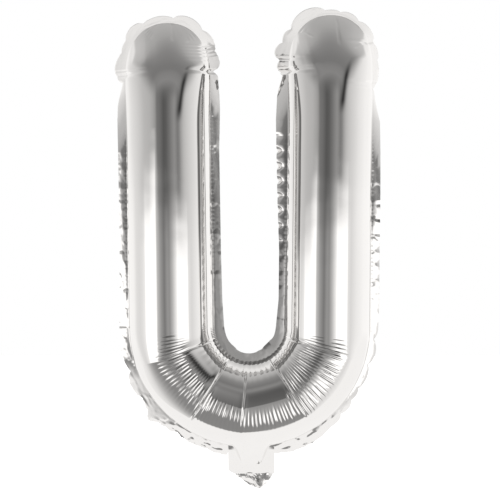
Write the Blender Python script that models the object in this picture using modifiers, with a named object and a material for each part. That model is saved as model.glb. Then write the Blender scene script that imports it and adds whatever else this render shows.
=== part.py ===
"""Letter U foil balloon, filled with air.

Two sheets of mirror foil are heat-sealed to each other round the outline of a capital U. The
air rounds them into a tube that follows the letter. Outside the weld the two films lie flat
together as a narrow margin with a scalloped edge, and at the foot a flat filling tail leaves
the tube through a funnel-shaped neck and ends in a crumpled tip.

Metres, +Z up. The seam lies in the plane y = 0 and the letter's face looks along -Y. The
origin is the root of the filling tail, where the margin's lower edge crosses the middle of
the letter.
"""
import math

import bmesh
import bpy
from mathutils import Vector

# Letter
TUBE_RADIUS = 0.0336
BEND_RADIUS = 0.0620
BEND_CENTRE_Z = 0.1019
SECTION_SEGMENTS = 28
BEND_STEP = 9.0

# Domed leg ends: height of the dome and how square its outline is. The leg grows to its full
# depth more slowly than to its full width, over the taper
DOME_HEIGHT = 0.0425
DOME_POWER = 2.2
DOME_STEPS = 6
TAPER_LENGTH = 0.0850
TAPER_STEPS = 4
STRAIGHT_STEPS = 4
LEAST_STATION_STEP = 0.0022

# Film, drawn thicker than the real foil so that it is a solid wall
FILM_WALL = 0.0010
WELD_GAP = 0.0003
LEAST_REACH = 0.0004

# Heat-sealed margin
MARGIN_THICKNESS = 0.0008
DOME_MARGIN_STEPS = 30
SHOULDER_MARGIN_STEP = 0.0025
SHOULDER_MARGIN_STEPS = 14
LEG_MARGIN_STEPS = 8
LEAST_MARGIN_STEP = 0.0008
OUTER_MARGIN_STEP = 1.5
INNER_MARGIN_STEP = 5.0

# Filling tail
TAIL_LEFT = -0.0170
TAIL_RIGHT = 0.0200
TAIL_FOLD_Z = -0.0168
TAIL_WALL = 0.0007
NECK_HALF_WIDTH = 0.0150
NECK_DEPTH = 0.0085
TAIL_COLUMNS = 18
TAIL_ROWS = 9
TAIL_GAP = 0.0004
TAIL_ROOT_GAP = 0.0006
TAIL_LEAN = math.radians(40.0)
TAIL_BEND_LENGTH = 0.0020
TIP_Z = -0.0277
TIP_X = 0.0075
TIP_LEFT = -0.0115
TIP_RIGHT = 0.0188
TIP_PLEATS = 7
TIP_PLEAT_DEPTH = 0.0016
TIP_RAGGEDNESS = 0.0012

# Rows of the tip: how far down, how wide against the top
TIP_ROWS = ((0.0, 1.0), (0.45, 0.8), (1.0, 0.22))

# name, side (-1 left, +1 right), height of the weld at its top, outward lean in degrees
LEGS = (
    ("left", -1, 0.3413, 0.75),
    ("right", 1, 0.3476, 0.55),
)

# Pinches of the film at the shoulders of each leg:
# leg, edge (+1 outer, -1 inner), distance below the leg's top, depth, half length
PINCHES = (
    ("left", 1, 0.0410, 0.0016, 0.0040),
    ("left", -1, 0.0390, 0.0018, 0.0035),
    ("right", 1, 0.0213, 0.0012, 0.0030),
    ("right", 1, 0.0545, 0.0012, 0.0040),
    ("right", -1, 0.0450, 0.0020, 0.0035),
)
PINCH_REACH = math.radians(75)

# Radial creases across the front of the bend: angle about the bend's centre, depth
CREASES = (
    (200.0, 0.0005),
    (238.0, 0.0010),
    (265.5, 0.0006),
    (303.0, 0.0010),
    (343.0, 0.0005),
)
CREASE_HALF_ANGLE = 1.3
CREASE_FROM = math.radians(48)
CREASE_TO = math.radians(168)

# Lobes of the margin's free edge. Round a domed end they follow the angle about the middle of
# the shoulder, anticlockwise from +X, and round the bend the angle about its centre. The first
# line of each gives the start. Columns: angle where the lobe ends, greatest width, width there
LOBES = {
    "left": (
        (188, 0.0, 0.0024),
        (150, 0.0092, 0.0056),
        (136, 0.0072, 0.0068),
        (114, 0.0100, 0.0052),
        (85, 0.0067, 0.0042),
        (56, 0.0090, 0.0060),
        (32, 0.0090, 0.0066),
        (8, 0.0082, 0.0030),
    ),
    "right": (
        (188, 0.0, 0.0046),
        (168, 0.0085, 0.0064),
        (148, 0.0114, 0.0068),
        (132, 0.0088, 0.0052),
        (95, 0.0100, 0.0044),
        (80, 0.0049, 0.0030),
        (60, 0.0055, 0.0029),
        (32, 0.0068, 0.0039),
        (12, 0.0058, 0.0039),
        (-24, 0.0054, 0.0009),
    ),
    "bend_left": (
        (176, 0.0, 0.0070),
        (201, 0.0080, 0.0052),
        (214, 0.0110, 0.0066),
        (236, 0.0108, 0.0062),
        (251, 0.0089, 0.0080),
        (263, 0.0094, 0.0088),
    ),
    "bend_right": (
        (281, 0.0, 0.0074),
        (308, 0.0108, 0.0082),
        (316, 0.0084, 0.0048),
        (324, 0.0070, 0.0042),
        (330, 0.0054, 0.0036),
        (342, 0.0060, 0.0028),
        (354, 0.0065, 0.0028),
        (366, 0.0064, 0.0060),
    ),
    "crotch": (
        (176, 0.0, 0.0093),
        (213, 0.0098, 0.0083),
        (240, 0.0092, 0.0080),
        (286, 0.0066, 0.0070),
        (300, 0.0084, 0.0076),
        (327, 0.0093, 0.0080),
        (364, 0.0090, 0.0078),
    ),
}

# Width of the margin down the straight legs, by leg and edge (+1 outer, -1 inner).
# Columns: distance below the leg's top, width
MARGIN_WIDTHS = {
    ("left", 1): ((0.0472, 0.0024), (0.053, 0.0042), (0.059, 0.0059), (0.065, 0.0070), (0.075, 0.0072),
                  (0.100, 0.0066), (0.140, 0.0064), (0.179, 0.0065), (0.219, 0.0070), (0.240, 0.0076)),
    ("left", -1): ((0.0378, 0.0030), (0.040, 0.0050), (0.043, 0.0061), (0.051, 0.0068), (0.057, 0.0072),
                   (0.068, 0.0075), (0.077, 0.0072), (0.100, 0.0064), (0.179, 0.0066), (0.219, 0.0072),
                   (0.240, 0.0093)),
    ("right", 1): ((0.0575, 0.0009), (0.062, 0.0016), (0.0655, 0.0021), (0.069, 0.0028), (0.073, 0.0037),
                   (0.083, 0.0064), (0.107, 0.0068), (0.225, 0.0070), (0.245, 0.0064)),
    ("right", -1): ((0.0472, 0.0046), (0.051, 0.0052), (0.0534, 0.0060), (0.0566, 0.0070), (0.060, 0.0079),
                    (0.0655, 0.0086), (0.083, 0.0092), (0.107, 0.0086), (0.146, 0.0074), (0.186, 0.0056),
                    (0.225, 0.0056), (0.245, 0.0080)),
}

# Folded pleat that stands out of the margin at the lower left: angle, half angle, extra width
PLEAT_ANGLE = 223.0
PLEAT_HALF_ANGLE = 4.0
PLEAT_EXTRA = 0.0050


def clear_scene():
    for item in list(bpy.data.objects):
        bpy.data.objects.remove(item, do_unlink=True)


def new_collection(name):
    collection = bpy.data.collections.new(name)
    bpy.context.scene.collection.children.link(collection)
    return collection


def new_material(name, color, roughness, metallic):
    material = bpy.data.materials.new(name)
    material.use_nodes = True
    shader = material.node_tree.nodes["Principled BSDF"]
    shader.inputs["Base Color"].default_value = (*color, 1.0)
    shader.inputs["Roughness"].default_value = roughness
    shader.inputs["Metallic"].default_value = metallic
    return material


def new_object(name, mesh, collection, material=None):
    piece = bpy.data.objects.new(name, mesh)
    collection.objects.link(piece)
    if material:
        piece.data.materials.append(material)
    return piece


def leg_frame(leg):
    """Start of the leg's axis at the bend, its direction upwards, its outward side, length."""
    name, side, top, lean = leg
    tilt = math.radians(lean)
    outward = Vector((side * math.cos(tilt), 0.0, -math.sin(tilt)))
    upward = Vector((side * math.sin(tilt), 0.0, math.cos(tilt)))
    start = Vector((0.0, 0.0, BEND_CENTRE_Z)) + outward * BEND_RADIUS
    return start, upward, outward, (top - start.z) / math.cos(tilt)


def dome_factor(below_top):
    return min(1.0, max(0.0, 1.0 - below_top / DOME_HEIGHT))


def half_width(below_top):
    return TUBE_RADIUS * (1.0 - dome_factor(below_top) ** DOME_POWER) ** (1.0 / DOME_POWER)


def half_depth(below_top):
    rise = min(1.0, max(0.0, 1.0 - below_top / TAPER_LENGTH))
    return TUBE_RADIUS * (1.0 - rise ** 2)


def pinch(name, edge, below_top):
    """How far the film is drawn in at one edge of a leg."""
    drawn = 0.0
    for leg_name, pinch_edge, middle, depth, half_length in PINCHES:
        if leg_name == name and pinch_edge == edge:
            drawn += depth * max(0.0, 1.0 - abs(below_top - middle) / half_length)
    return drawn


def pinch_knots(leg, edges):
    """Distances below the top at which the pinches of a leg start, are deepest and end."""
    knots = []
    for name, edge, middle, _, half_length in PINCHES:
        if name == leg[0] and edge in edges:
            knots += [middle - half_length, middle, middle + half_length]
    return knots


def join_stations(places, knots, least):
    """Both lists in order, without the places that stand too close to a knot."""
    kept = [place for place in places if all(abs(place - knot) > least for knot in knots)]
    return sorted(kept + knots)


def leg_stations(leg):
    """Distances below the leg's top at which its sections stand, from the top downwards."""
    length = leg_frame(leg)[3]
    turns = [math.radians(90.0 * step / DOME_STEPS) for step in range(1, DOME_STEPS + 1)]
    places = [DOME_HEIGHT * (1.0 - math.cos(turn)) for turn in turns]
    taper = TAPER_LENGTH - DOME_HEIGHT
    straight = length - TAPER_LENGTH
    places += [DOME_HEIGHT + taper * step / TAPER_STEPS for step in range(1, TAPER_STEPS + 1)]
    places += [TAPER_LENGTH + straight * step / STRAIGHT_STEPS for step in range(1, STRAIGHT_STEPS)]
    return join_stations(places, pinch_knots(leg, (1, -1)), LEAST_STATION_STEP)


def bend_angles():
    """Angles of the sections round the bend, with three at each crease."""
    first = 180.0 + LEGS[0][3]
    last = 360.0 - LEGS[1][3]
    knots = [first]
    for angle, _ in CREASES:
        knots += [angle - CREASE_HALF_ANGLE, angle, angle + CREASE_HALF_ANGLE]
    knots.append(last)
    angles = []
    for low, high in zip(knots, knots[1:]):
        parts = max(1, math.ceil((high - low) / BEND_STEP))
        angles += [low + (high - low) * part / parts for part in range(parts)]
    return angles + [last]


def crease_depth(angle, around):
    """Depth of the creases at one point of the bend. around is 0 at the outer weld."""
    if not CREASE_FROM < around < CREASE_TO:
        return 0.0
    swell = math.sin(math.pi * (around - CREASE_FROM) / (CREASE_TO - CREASE_FROM))
    for middle, depth in CREASES:
        if abs(angle - middle) < 0.01:
            return depth * swell
    return 0.0


def leg_ring(leg, below_top, inset, around_list):
    """One section of a leg. around runs from the outer weld over the front to the inner."""
    start, upward, outward, length = leg_frame(leg)
    middle = start + upward * (length - below_top)
    wide = max(LEAST_REACH, half_width(below_top) - inset)
    deep = max(LEAST_REACH, half_depth(below_top) - inset)
    ring = []
    for around in around_list:
        reach = wide * math.cos(around)
        for edge, off in ((1, min(around, 2 * math.pi - around)), (-1, abs(math.pi - around))):
            drawn = pinch(leg[0], edge, below_top) * max(0.0, 1.0 - off / PINCH_REACH)
            reach -= edge * drawn
        ring.append(middle + outward * reach + Vector((0.0, -deep * math.sin(around), 0.0)))
    return ring


def bend_ring(angle, inset, around_list):
    turn = math.radians(angle)
    outward = Vector((math.cos(turn), 0.0, math.sin(turn)))
    centre = Vector((0.0, 0.0, BEND_CENTRE_Z))
    ring = []
    for around in around_list:
        radius = TUBE_RADIUS - inset - crease_depth(angle, around)
        reach = BEND_RADIUS + radius * math.cos(around)
        ring.append(centre + outward * reach + Vector((0.0, -radius * math.sin(around), 0.0)))
    return ring


def envelope_rings(inset):
    """All sections of the closed tube, from the left leg's top to the right leg's top."""
    left, right = LEGS
    around = [2 * math.pi * step / SECTION_SEGMENTS for step in range(SECTION_SEGMENTS)]
    rings = [leg_ring(left, place, inset, around) for place in leg_stations(left)]
    rings += [bend_ring(angle, inset, around) for angle in bend_angles()]
    rings += [leg_ring(right, place, inset, around) for place in reversed(leg_stations(right))]
    return rings


def leg_top(leg, inset):
    start, upward, _, length = leg_frame(leg)
    return start + upward * (length - inset)


def add_skin(bm, inset, inward):
    """One closed skin of the envelope, lofted through its sections and closed at both tops."""
    rings = [[bm.verts.new(point) for point in ring] for ring in envelope_rings(inset)]
    first = bm.verts.new(leg_top(LEGS[0], inset))
    last = bm.verts.new(leg_top(LEGS[1], inset))
    faces = []
    for step in range(SECTION_SEGMENTS):
        after = (step + 1) % SECTION_SEGMENTS
        faces.append((first, rings[0][after], rings[0][step]))
        faces.append((last, rings[-1][step], rings[-1][after]))
        for near, far in zip(rings, rings[1:]):
            faces.append((near[step], near[after], far[after], far[step]))
    for corners in faces:
        bm.faces.new(corners[::-1] if inward else corners)


def make_half_space(name, side, cutters):
    """A block that holds everything in front of the seam (side -1) or behind it (side +1)."""
    depth = 2 * TUBE_RADIUS
    bpy.ops.mesh.primitive_cube_add(size=1.0)
    block = bpy.context.object
    block.name = name
    block.scale = (1.0, depth, 1.0)
    block.location = (0.0, side * (depth / 2 + WELD_GAP / 2), 0.2)
    for collection in list(block.users_collection):
        collection.objects.unlink(block)
    cutters.objects.link(block)
    block.hide_render = True
    block.display_type = "WIRE"
    return block


def make_panel(name, side, parts, cutters, material):
    """One film of the envelope: the hollow tube, cut at the seam plane."""
    bm = bmesh.new()
    add_skin(bm, 0.0, side > 0)
    add_skin(bm, FILM_WALL, side < 0)
    if side > 0:
        for vert in bm.verts:
            vert.co.y = -vert.co.y
    mesh = bpy.data.meshes.new(name)
    bm.to_mesh(mesh)
    bm.free()
    mesh.shade_smooth()
    panel = new_object(name, mesh, parts, material)
    cut = panel.modifiers.new("seam_plane", "BOOLEAN")
    cut.operation = "INTERSECT"
    cut.object = make_half_space(name + "_side", side, cutters)
    return panel


def weld_point(leg, edge, below_top):
    """Point of the weld line on a leg, and the outward side of the leg's outline there."""
    start, upward, outward, length = leg_frame(leg)

    def outline(below, drawn):
        return start + upward * (length - below) + outward * (edge * (half_width(below) - drawn))

    step = 0.0002
    along = outline(below_top + step, 0.0) - outline(max(0.0, below_top - step), 0.0)
    across = Vector((-along.z, 0.0, along.x))
    if across.dot(outward * edge) < 0.0:
        across = -across
    return outline(below_top, pinch(leg[0], edge, below_top)), across.normalized()


def shoulder_angle(leg, point):
    """Angle of a point about the middle of a leg's shoulder, from -90 to 270."""
    start, upward, _, length = leg_frame(leg)
    shoulder = start + upward * (length - DOME_HEIGHT)
    return (math.degrees(math.atan2(point.z - shoulder.z, point.x - shoulder.x)) + 90.0) % 360.0 - 90.0


def lobe_width(name, angle):
    """Margin width at an angle, from the table of lobes, or None outside the table."""
    lines = LOBES[name]
    for (start, _, notch), (end, widest, next_notch) in zip(lines, lines[1:]):
        part = (angle - start) / (end - start)
        if 0.0 <= part <= 1.0:
            base = notch + (next_notch - notch) * part
            return base + (widest - base) * math.sin(math.pi * part) ** 0.6
    return None


def smooth(value):
    value = min(1.0, max(0.0, value))
    return value * value * (3.0 - 2.0 * value)


def table_value(lines, place):
    """Second column of a table of two columns, between its lines."""
    for (low, first), (high, last) in zip(lines, lines[1:]):
        if place <= high:
            return first + (last - first) * max(0.0, place - low) / (high - low)
    return lines[-1][1]


def margin_width(leg, edge, below_top, point):
    """Width of the margin beside a leg: lobes round the dome, then an even strip."""
    width = lobe_width(leg[0], shoulder_angle(leg, point))
    if width is None:
        width = table_value(MARGIN_WIDTHS[(leg[0], edge)], below_top)
    return width


def margin_stations(leg, edge):
    """Distances below the top for the margin's points: dense round the dome's lobes."""
    length = leg_frame(leg)[3]
    quarter = 0.5 * math.pi / DOME_MARGIN_STEPS
    places = [DOME_HEIGHT * (1.0 - math.cos(quarter * (step + 0.5))) for step in range(DOME_MARGIN_STEPS)]
    places += [DOME_HEIGHT + SHOULDER_MARGIN_STEP * step for step in range(1, SHOULDER_MARGIN_STEPS + 1)]
    straight = max(places)
    part = (length - straight) / LEG_MARGIN_STEPS
    places += [straight + part * step for step in range(1, LEG_MARGIN_STEPS + 1)]
    return join_stations(places, pinch_knots(leg, (edge,)), LEAST_MARGIN_STEP)


def leg_margin(leg, edge):
    """Pairs of points, on the weld line and on the free edge, from the leg's top downwards."""
    pairs = []
    for below_top in margin_stations(leg, edge):
        weld, across = weld_point(leg, edge, below_top)
        width = margin_width(leg, edge, below_top, weld)
        pairs.append((weld + across * WELD_GAP, weld + across * width))
    return pairs


def tail_gap_angles():
    """Angles about the bend's centre at which the margin's free edge meets the tail."""
    radius = BEND_RADIUS + TUBE_RADIUS
    left = 270.0 + math.degrees(math.asin((TAIL_LEFT - WELD_GAP) / radius))
    right = 270.0 + math.degrees(math.asin((TAIL_RIGHT + WELD_GAP) / radius))
    return left, right


def beside_tail(point):
    """The point, moved sideways if it would reach into the tail."""
    if TAIL_LEFT - WELD_GAP < point.x < 0.0 and point.z < BEND_CENTRE_Z - BEND_RADIUS:
        point.x = TAIL_LEFT - WELD_GAP
    if 0.0 < point.x < TAIL_RIGHT + WELD_GAP and point.z < BEND_CENTRE_Z - BEND_RADIUS:
        point.x = TAIL_RIGHT + WELD_GAP
    return point


def bend_margin(edge, name, low, high, step):
    """Pairs of margin points round the bend between two angles, with the lobes of that name."""
    pairs = []
    radius = BEND_RADIUS + edge * TUBE_RADIUS
    centre = Vector((0.0, 0.0, BEND_CENTRE_Z))
    total = round((high - low) / step)
    for index in range(total + 1):
        angle = low + (high - low) * index / total
        outward = Vector((math.cos(math.radians(angle)), 0.0, math.sin(math.radians(angle))))
        width = lobe_width(name, angle)
        if edge > 0:
            width += PLEAT_EXTRA * smooth(1.0 - abs(angle - PLEAT_ANGLE) / PLEAT_HALF_ANGLE)
        weld = centre + outward * (radius + edge * WELD_GAP)
        free = centre + outward * (radius + edge * width)
        pairs.append((beside_tail(weld), beside_tail(free)))
    return pairs


def make_seam_margin(parts, material):
    """The sealed strip: its outline is drawn flat, given its thickness and stood upright."""
    left, right = LEGS
    gap_left, gap_right = tail_gap_angles()
    bend_from = 180.0 + left[3]
    bend_to = 360.0 - right[3]
    pairs = bend_margin(1, "bend_left", bend_from, gap_left, OUTER_MARGIN_STEP)[::-1]
    pairs += leg_margin(left, 1)[:-1][::-1]
    pairs += leg_margin(left, -1)[:-1]
    pairs += bend_margin(-1, "crotch", bend_from, bend_to, INNER_MARGIN_STEP)
    pairs += leg_margin(right, -1)[:-1][::-1]
    pairs += leg_margin(right, 1)[:-1]
    pairs += bend_margin(1, "bend_right", gap_right, bend_to, OUTER_MARGIN_STEP)[::-1]
    outline = [free for _, free in pairs] + [weld for weld, _ in reversed(pairs)]
    curve = bpy.data.curves.new("seam_margin", "CURVE")
    curve.dimensions = "2D"
    curve.fill_mode = "BOTH"
    curve.extrude = MARGIN_THICKNESS / 2
    spline = curve.splines.new("POLY")
    spline.points.add(len(outline) - 1)
    for point, place in zip(spline.points, outline):
        point.co = (place.x, place.z, 0.0, 1.0)
    spline.use_cyclic_u = True
    margin = new_object("seam_margin", curve, parts, material)
    margin.rotation_euler = (math.radians(90), 0.0, 0.0)
    join = margin.modifiers.new("close_edges", "WELD")
    join.merge_threshold = 0.00001
    return margin


def body_underside(x, depth):
    """Height of the envelope's lower surface at x, at a depth from the seam plane."""
    reach = BEND_RADIUS + math.sqrt(TUBE_RADIUS ** 2 - depth ** 2)
    return BEND_CENTRE_Z - math.sqrt(reach ** 2 - x ** 2)


def lean_back(z):
    """How far the leaning tail stands behind the seam plane at a height."""
    below = body_underside(0.0, 0.0) - z
    return math.tan(TAIL_LEAN) * 0.5 * (below + math.hypot(below, TAIL_BEND_LENGTH))


def make_tail_sheet(name, side, parts, material):
    """One film of the tail, leaning back: flat at its sides, bulged where the neck is."""
    middle = 0.5 * (TAIL_LEFT + TAIL_RIGHT)
    grid = []
    for column in range(TAIL_COLUMNS + 1):
        x = TAIL_LEFT + (TAIL_RIGHT - TAIL_LEFT) * column / TAIL_COLUMNS
        line = []
        bulge_here = 0.0
        for row in range(TAIL_ROWS + 1):
            part = row / TAIL_ROWS
            narrow = NECK_HALF_WIDTH * (1.0 - 0.55 * smooth(part * 1.6))
            across = 1.0 - smooth(abs(x - middle) / narrow)
            bulge = NECK_DEPTH * across * (1.0 - smooth(part * 1.35))
            if row == 0:
                bulge_here = bulge
            top = body_underside(x, bulge_here + TAIL_GAP / 2) - TAIL_ROOT_GAP
            z = top + (TAIL_FOLD_Z - top) * part
            line.append(Vector((x, side * (TAIL_GAP / 2 + bulge) + lean_back(z), z)))
        grid.append(line)
    bm = bmesh.new()
    verts = [[bm.verts.new(point) for point in line] for line in grid]
    for near, far in zip(verts, verts[1:]):
        for row in range(TAIL_ROWS):
            corners = (near[row], near[row + 1], far[row + 1], far[row])
            bm.faces.new(corners if side < 0 else corners[::-1])
    mesh = bpy.data.meshes.new(name)
    bm.to_mesh(mesh)
    bm.free()
    mesh.shade_smooth()
    sheet = new_object(name, mesh, parts, material)
    wall = sheet.modifiers.new("film", "SOLIDIFY")
    wall.thickness = TAIL_WALL
    wall.offset = 1.0
    return sheet


def make_tail_tip(parts, material):
    """The crumpled end: a pleated fan that gathers from the last fold to a point."""
    bm = bmesh.new()
    lines = []
    for drop, spread in TIP_ROWS:
        line = []
        for index in range(TIP_PLEATS + 1):
            part = index / TIP_PLEATS
            x = TIP_LEFT + (TIP_RIGHT - TIP_LEFT) * part
            x = TIP_X + (x - TIP_X) * spread
            top = TAIL_FOLD_Z - TAIL_WALL * math.sin(TAIL_LEAN) - WELD_GAP
            ragged = TIP_RAGGEDNESS * math.sin(5.0 * part + 2.0 * drop)
            z = top + (TIP_Z - top) * drop + (ragged if drop else 0.0)
            y = TIP_PLEAT_DEPTH * (1 if index % 2 else -1) * (1.0 - 0.4 * drop)
            line.append(bm.verts.new((x, y + lean_back(TAIL_FOLD_Z), z)))
        lines.append(line)
    for near, far in zip(lines, lines[1:]):
        for index in range(TIP_PLEATS):
            bm.faces.new((near[index], far[index], far[index + 1], near[index + 1]))
    mesh = bpy.data.meshes.new("tail_tip")
    bm.to_mesh(mesh)
    bm.free()
    tip = new_object("tail_tip", mesh, parts, material)
    wall = tip.modifiers.new("film", "SOLIDIFY")
    wall.thickness = TAIL_WALL
    wall.offset = 0.0
    return tip


def main():
    clear_scene()
    parts = new_collection("letter_foil_balloon")
    cutters = new_collection("cutters")
    foil = new_material("mirror_foil", (0.86, 0.85, 0.84), 0.06, 1.0)
    sealed = new_material("sealed_foil", (0.78, 0.77, 0.76), 0.14, 1.0)
    creased = new_material("creased_foil", (0.80, 0.79, 0.78), 0.12, 1.0)
    make_panel("front_panel", -1, parts, cutters, foil)
    make_panel("back_panel", 1, parts, cutters, foil.copy())
    make_seam_margin(parts, sealed)
    make_tail_sheet("tail_front", -1, parts, creased)
    make_tail_sheet("tail_back", 1, parts, creased.copy())
    make_tail_tip(parts, creased.copy())


main()
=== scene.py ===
import math

import bpy
import numpy as np
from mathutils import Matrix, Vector


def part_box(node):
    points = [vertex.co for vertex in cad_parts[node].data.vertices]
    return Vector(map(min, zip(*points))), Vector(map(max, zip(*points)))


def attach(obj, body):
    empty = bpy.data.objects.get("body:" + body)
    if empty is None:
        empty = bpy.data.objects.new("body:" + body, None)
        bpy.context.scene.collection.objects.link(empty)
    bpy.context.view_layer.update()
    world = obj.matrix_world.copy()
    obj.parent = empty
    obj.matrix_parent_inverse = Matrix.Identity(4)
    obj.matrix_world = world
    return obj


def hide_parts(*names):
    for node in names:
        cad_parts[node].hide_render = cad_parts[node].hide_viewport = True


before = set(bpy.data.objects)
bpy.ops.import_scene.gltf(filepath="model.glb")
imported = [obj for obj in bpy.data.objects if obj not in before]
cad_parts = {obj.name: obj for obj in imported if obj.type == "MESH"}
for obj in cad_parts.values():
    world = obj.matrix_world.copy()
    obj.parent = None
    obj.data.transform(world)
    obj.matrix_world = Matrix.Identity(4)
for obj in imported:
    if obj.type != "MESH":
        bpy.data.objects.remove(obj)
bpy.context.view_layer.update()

# A letter U foil balloon in a photographer's white room. Each film is swept over the tube that
# follows the letter, the sealed margin is swept along the weld, and the filling tail is two
# sheets that end in a crumpled tip. What the mirror shows is the room, which is the world.
MM = 0.001

# Letter, as in the solids: the tube follows a U in the plane y = 0 and its face looks along -Y
TUBE_RADIUS = -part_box("front_panel")[0].y
BEND_RADIUS = 62.0 * MM
BEND_CENTRE = Vector((0.0, 0.0, 101.9 * MM))
DOME_HEIGHT = 42.5 * MM
DOME_POWER = 2.2
FILM_INSET = 1.0 * MM
SEAM_GAP = 0.1 * MM
MERGE_DISTANCE = 0.004 * MM
SHARP_ANGLE = math.radians(50.0)
TAPER_LENGTH = 85.0 * MM
CROWN_HEIGHT = 0.35 * DOME_HEIGHT

# Power of the section's arch: an ellipse along the tube, near a parabola at the dome, where the
# film comes out of the weld at an angle, and over what part of the taper it changes
TUBE_FULLNESS = 0.5
DOME_FULLNESS = 0.95
FULLNESS_CHANGE = (0.58, 0.88)

# Name, side, height of the weld at the leg's top, outward lean in degrees
LEGS = (
    ("left", -1, 341.3 * MM, 0.75),
    ("right", 1, 347.6 * MM, 0.55),
)

# Folds where the film is drawn in at the shoulders: leg, edge (+1 outer, -1 inner), then
# distance below the top, depth and half length in millimetres
FOLDS = (
    ("left", 1, 41, 1.5, 3.2),
    ("left", 1, 37.6, 0.5, 1.4),
    ("left", -1, 39, 1.8, 3),
    ("left", -1, 18.6, 0.5, 1.3),
    ("left", -1, 21.4, 0.6, 1.3),
    ("left", -1, 24, 0.6, 1.3),
    ("left", -1, 26.6, 0.5, 1.3),
    ("left", -1, 30, 0.4, 1.5),
    ("right", 1, 21.3, 1.1, 2.4),
    ("right", 1, 54.5, 0.9, 3),
    ("right", 1, 58, 0.5, 1.6),
    ("right", -1, 45, 1.9, 2.8),
    ("right", -1, 42.4, 0.7, 1.4),
    ("right", -1, 35, 0.6, 2.4),
)

# How sharply a fold draws in, and how far over the film from the weld it is felt
FOLD_SHARPNESS = 1.3
FOLD_REACH = 0.42

# Pleating of the bend, in two bands: angle about the bend's centre, then strength, middle and
# reach of the inner band and of the outer one, in degrees over the tube from the outer weld
PLEATING = (
    (182, 0, 90, 8, 0, 76, 8),
    (190, 0.55, 88, 8, 0.1, 76, 8),
    (202, 1.2, 88, 11, 0.45, 70, 10),
    (222, 1.3, 88, 12, 0.5, 70, 11),
    (236, 1.3, 84, 11, 0.5, 67, 10),
    (244, 1, 80, 8, 0.3, 64, 7),
    (262, 0.9, 76, 8, 0.3, 63, 6),
    (268, 1, 71, 8.5, 0.1, 62, 6),
    (296, 1.1, 72, 9.5, 0, 68, 8),
    (304, 1.1, 100, 12, 0.9, 69, 10),
    (318, 1.1, 106, 13, 1, 71, 11),
    (334, 1.1, 112, 12, 1, 73, 11),
    (345, 0.6, 108, 10, 0.7, 75, 10),
    (354, 0, 104, 9, 0, 76, 9),
)

# Creases across the bend: angle, depth and half width in millimetres, and from where to where
# they run, in degrees over the tube
CREASES = (
    (200, 0.45, 0.9, 62, 176),
    (237.6, 0.85, 0.8, 44, 176),
    (240.2, 0.35, 0.6, 46, 110),
    (265.5, 0.4, 0.7, 54, 160),
    (302.8, 0.85, 0.8, 48, 172),
    (305.6, 0.35, 0.6, 50, 95),
    (343, 0.45, 0.9, 60, 176),
)
CREASE_FADE_IN = 22.0
CREASE_FADE_OUT = 30.0
BANK_WIDTH = 3.2
BANK_HEIGHT = 0.30

# Facets and creases of the front film at the domes: from x, z to x, z, height and half width,
# in millimetres, and whether it is flat-sided (1) or a rounded crease (0)
FACETS = (
    (-83.1, 338.3, -80.7, 305.5, 0.32, 6, 1),
    (-81.5, 336.5, -76.5, 329.5, -0.2, 0.6, 0),
    (-61.2, 341.4, -60.4, 327.1, -0.2, 0.6, 0),
    (-43.5, 331.8, -49, 325.5, -0.15, 0.6, 0),
    (42.5, 335.2, 51.9, 302.4, 0.55, 7, 1),
    (38.8, 337.4, 48.8, 329.4, -0.24, 0.6, 0),
    (69, 343, 70.6, 323.6, -0.22, 0.6, 0),
    (90, 325, 83, 320.5, -0.18, 0.6, 0),
)

# The creases part the bend into panels that are each almost straight
PANEL_EDGES = (200, 238.5, 265.5, 304, 343)
PANEL_HALF_ANGLE = 19.25

# Lobes of the margin's free edge, as in the solids but smoother round the crotch, by the angle
# about a dome's shoulder or the bend's centre. The first of each gives the start. Columns: angle
# where the lobe ends, greatest width, width at its end, both in millimetres
LOBES = {
    "left": ((188, 0, 2.4), (150, 9.2, 5.6), (136, 7.2, 6.8), (114, 10, 5.2), (85, 6.7, 4.2),
             (56, 9, 6), (32, 9, 6.6), (8, 8.2, 3)),
    "right": ((188, 0, 4.6), (168, 8.5, 6.4), (148, 11.4, 6.8), (132, 8.8, 5.2), (95, 10, 4.4),
              (80, 4.9, 3), (60, 5.5, 2.9), (32, 6.8, 3.9), (12, 5.8, 3.9), (-24, 5.4, 0.9)),
    "bend_left": ((176, 0, 7), (201, 8, 5.2), (214, 11, 6.6), (236, 10.8, 6.2),
                  (251, 8.9, 8), (263, 9.4, 8.8)),
    "bend_right": ((281, 0, 7.4), (308, 10.8, 8.2), (316, 8.4, 4.8), (324, 7, 4.2),
                   (330, 5.4, 3.6), (342, 6, 2.8), (354, 6.5, 2.8), (366, 6.4, 6)),
    "crotch": ((176, 0, 7.9), (213, 8.6, 8.3), (240, 8.3, 7.6), (286, 6.8, 7.3), (300, 7.8, 7.9),
               (327, 9, 8.6), (364, 7.7, 7.1)),
}

# Width of the margin down the straight legs, by leg and edge (+1 outer, -1 inner), as in the
# solids: distance below the leg's top and width, in millimetres
MARGIN_WIDTHS = {
    ("left", 1): ((47.2, 2.4), (53, 4.2), (59, 5.9), (65, 7), (75, 7.2), (100, 6.6), (140, 6.4),
                  (179, 6.5), (219, 7), (240, 7.6)),
    ("left", -1): ((37.8, 3), (40, 5), (43, 6.1), (51, 6.8), (57, 7.2), (68, 7.5), (77, 7.2),
                   (100, 6.4), (179, 6.6), (219, 7.2), (240, 8.3)),
    ("right", 1): ((57.5, 0.9), (62, 1.6), (65.5, 2.1), (69, 2.8), (73, 3.7), (83, 6.4), (107, 6.8),
                   (225, 7), (245, 6.4)),
    ("right", -1): ((47.2, 4.6), (51, 5.2), (53.4, 6), (56.6, 7), (60, 7.9), (65.5, 8.6),
                    (83, 9.2), (107, 8.6), (146, 7.4), (186, 5.6), (225, 5.6), (245, 7.4)),
}
LOBE_ROUNDNESS = 0.6
MARGIN_THICKNESS = 0.25 * MM
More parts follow.
